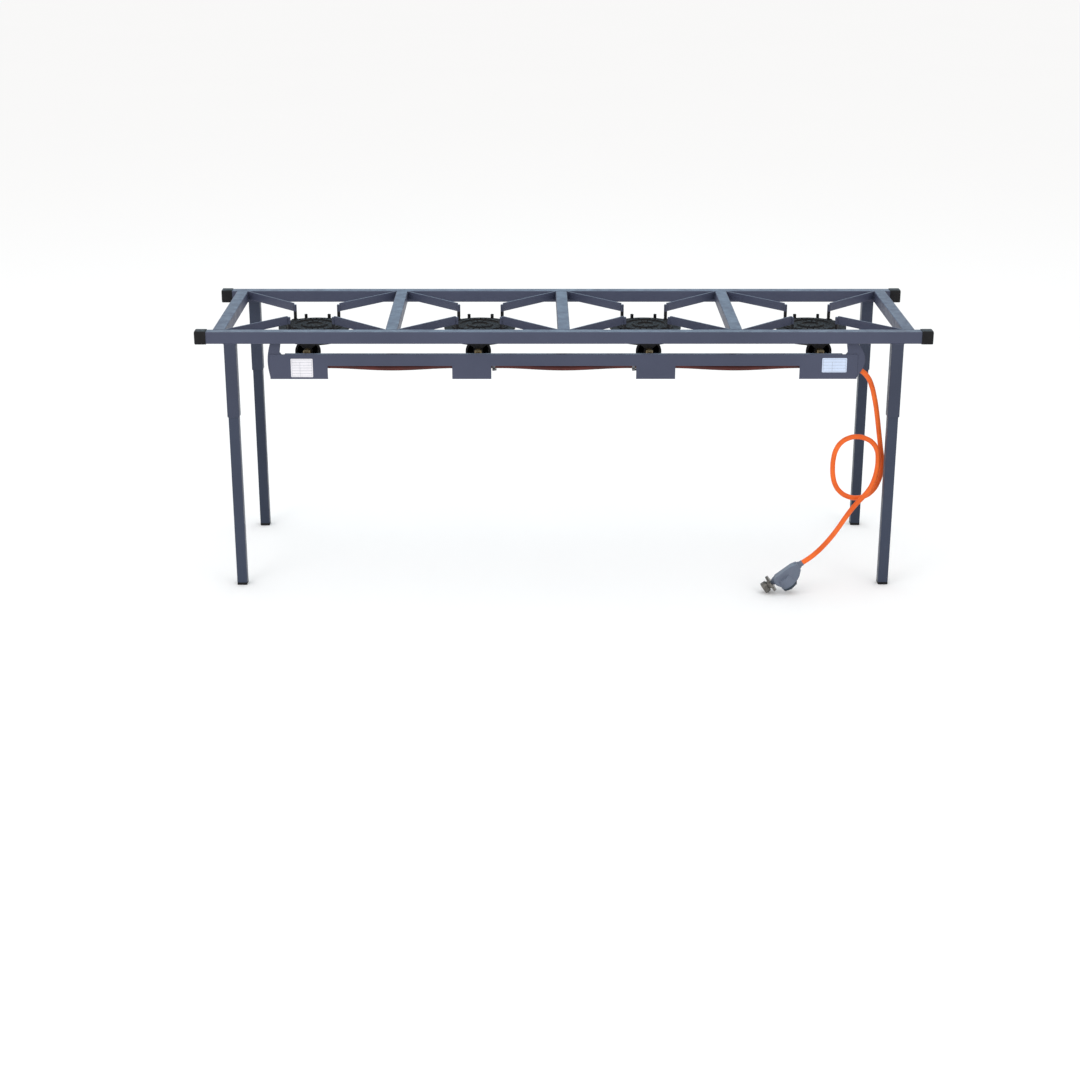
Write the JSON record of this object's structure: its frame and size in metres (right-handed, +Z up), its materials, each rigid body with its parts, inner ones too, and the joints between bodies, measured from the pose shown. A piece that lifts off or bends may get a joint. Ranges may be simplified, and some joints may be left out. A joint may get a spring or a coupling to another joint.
{
  "type": "propane burner stand",
  "caption": "Long free-standing square-tube frame with cast-iron ring burners, pot arms, plug-in legs, hose shield, gas taps, supply hose and regulator.",
  "frame": {"origin": "floor level, midway between the four feet", "axes": "+X along the rails to the hose end, +Y to the back, away from the hose shield, +Z up"},
  "size_m": [2.132, 0.6675, 0.782],
  "materials": {
    "frame_paint": "satin slate-blue baked paint",
    "leg_paint": "satin darker slate-blue baked paint",
    "black_plastic": "moulded, matt",
    "cast_iron": "as cast, black",
    "burner_cap_iron": "as cast, black, heat-worn",
    "black_steel": "black oxide",
    "brass": "machined",
    "knob_plastic": "moulded, fine texture",
    "orange_hose": "extruded, semi-matt",
    "link_hose": "extruded, dark red, semi-matt",
    "clamp_steel": "zinc plated, dulled",
    "label_film": "blank film plate",
    "regulator_grey": "die-cast, grey paint",
    "regulator_dark": "die-cast, dark grey paint",
    "nut_metal": "turned, plated brass"
  },
  "bodies": {
    "root": {"front_rail": "frame_paint", "back_rail": "frame_paint", "rail_caps": "black_plastic", "cross_tube_1": "frame_paint", "cross_tube_2": "frame_paint", "cross_tube_3": "frame_paint", "cross_tube_4": "frame_paint", "cross_tube_5": "frame_paint", "pot_arms_1": "frame_paint", "pot_arms_2": "frame_paint", "pot_arms_3": "frame_paint", "pot_arms_4": "frame_paint", "leg_socket_front_left": "frame_paint", "leg_socket_front_right": "frame_paint", "leg_socket_back_left": "frame_paint", "leg_socket_back_right": "frame_paint", "hanger_studs": "black_steel", "stud_nuts": "black_steel", "burner_body_1": "cast_iron", "burner_body_2": "cast_iron", "burner_body_3": "cast_iron", "burner_body_4": "cast_iron", "burner_cap_1": "burner_cap_iron", "burner_cap_2": "burner_cap_iron", "burner_cap_3": "burner_cap_iron", "burner_cap_4": "burner_cap_iron", "injectors": "brass", "gas_tap_1": "brass", "gas_tap_2": "brass", "gas_tap_3": "brass", "gas_tap_4": "brass", "link_hoses": "link_hose", "hose_clamps": "clamp_steel", "hose_shield": "frame_paint", "shield_brackets": "frame_paint", "label_plates": "label_film", "supply_hose": "orange_hose", "regulator_body": "regulator_grey", "regulator_cap": "regulator_dark"},
    "leg_front_left": {"leg_front_left": "leg_paint", "foot_front_left": "black_plastic"},
    "leg_front_right": {"leg_front_right": "leg_paint", "foot_front_right": "black_plastic"},
    "leg_back_left": {"leg_back_left": "leg_paint", "foot_back_left": "black_plastic"},
    "leg_back_right": {"leg_back_right": "leg_paint", "foot_back_right": "black_plastic"},
    "knob_1": {"tap_spindle_1": "brass", "tap_knob_1": "knob_plastic"},
    "knob_2": {"tap_spindle_2": "brass", "tap_knob_2": "knob_plastic"},
    "knob_3": {"tap_spindle_3": "brass", "tap_knob_3": "knob_plastic"},
    "knob_4": {"tap_spindle_4": "brass", "tap_knob_4": "knob_plastic"},
    "shutter_1": {"air_shutter_1": "black_steel"},
    "shutter_2": {"air_shutter_2": "black_steel"},
    "shutter_3": {"air_shutter_3": "black_steel"},
    "shutter_4": {"air_shutter_4": "black_steel"},
    "union_nut": {"regulator_nut": "nut_metal"}
  },
  "joints": [
    {"name": "leg_front_left_plug", "type": "slide", "parent": "root", "child": "leg_front_left", "axis": [0, 0, -1], "range_m": [0, 0.2]},
    {"name": "leg_front_right_plug", "type": "slide", "parent": "root", "child": "leg_front_right", "axis": [0, 0, -1], "range_m": [0, 0.2]},
    {"name": "leg_back_left_plug", "type": "slide", "parent": "root", "child": "leg_back_left", "axis": [0, 0, -1], "range_m": [0, 0.2]},
    {"name": "leg_back_right_plug", "type": "slide", "parent": "root", "child": "leg_back_right", "axis": [0, 0, -1], "range_m": [0, 0.2]},
    {"name": "knob_1_turn", "type": "hinge", "parent": "root", "child": "knob_1", "pos_m": [-0.75, -0.233, 0.65], "axis": [0, 0, 1], "range_deg": [0, 90]},
    {"name": "knob_2_turn", "type": "hinge", "parent": "root", "child": "knob_2", "pos_m": [-0.25, -0.233, 0.65], "axis": [0, 0, 1], "range_deg": [0, 90]},
    {"name": "knob_3_turn", "type": "hinge", "parent": "root", "child": "knob_3", "pos_m": [0.25, -0.233, 0.65], "axis": [0, 0, 1], "range_deg": [0, 90]},
    {"name": "knob_4_turn", "type": "hinge", "parent": "root", "child": "knob_4", "pos_m": [0.75, -0.233, 0.65], "axis": [0, 0, 1], "range_deg": [0, 90]},
    {"name": "shutter_1_turn", "type": "hinge", "parent": "root", "child": "shutter_1", "pos_m": [-0.75, -0.1973, 0.7], "axis": [0, 1, 0], "range_deg": [0, 90]},
    {"name": "shutter_2_turn", "type": "hinge", "parent": "root", "child": "shutter_2", "pos_m": [-0.25, -0.1973, 0.7], "axis": [0, 1, 0], "range_deg": [0, 90]},
    {"name": "shutter_3_turn", "type": "hinge", "parent": "root", "child": "shutter_3", "pos_m": [0.25, -0.1973, 0.7], "axis": [0, 1, 0], "range_deg": [0, 90]},
    {"name": "shutter_4_turn", "type": "hinge", "parent": "root", "child": "shutter_4", "pos_m": [0.75, -0.1973, 0.7], "axis": [0, 1, 0], "range_deg": [0, 90]},
    {"name": "union_nut_turn", "type": "hinge", "parent": "root", "child": "union_nut", "pos_m": [0.597, -0.352, 0.014], "axis": [0.809, 0, 0.5878], "continuous": true}
  ]
}
